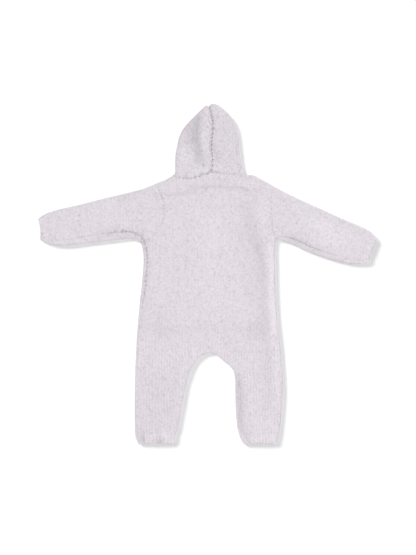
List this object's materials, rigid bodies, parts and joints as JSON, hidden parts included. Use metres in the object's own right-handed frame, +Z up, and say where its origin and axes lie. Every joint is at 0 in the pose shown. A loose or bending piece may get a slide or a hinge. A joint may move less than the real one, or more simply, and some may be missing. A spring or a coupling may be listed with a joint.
{
  "type": "baby romper",
  "caption": "Hooded long-sleeved baby romper in pale teddy cloth, laid flat with its back up, with a buttoned front underneath.",
  "frame": {"origin": "on the surface the garment lies on, under the middle of its bounding box", "axes": "+X across to the wearer's right, +Y from the feet to the hood, +Z up from the surface, out of the garment's back"},
  "size_m": [0.6741, 0.6786, 0.0138],
  "materials": {
    "teddy_cloth": "pale lilac-grey teddy cloth with a short curled pile, matt with a soft sheen",
    "button": "satin moulded four-hole button in the cloth's colour"
  },
  "bodies": {
    "root": {"back": "teddy_cloth", "front_left": "teddy_cloth", "front_right": "teddy_cloth", "sleeve_left": "teddy_cloth", "sleeve_right": "teddy_cloth", "hood_left": "teddy_cloth", "hood_right": "teddy_cloth", "button_band": "teddy_cloth", "button_1": "button", "button_2": "button", "button_3": "button", "button_4": "button", "button_5": "button"}
  },
  "joints": []
}
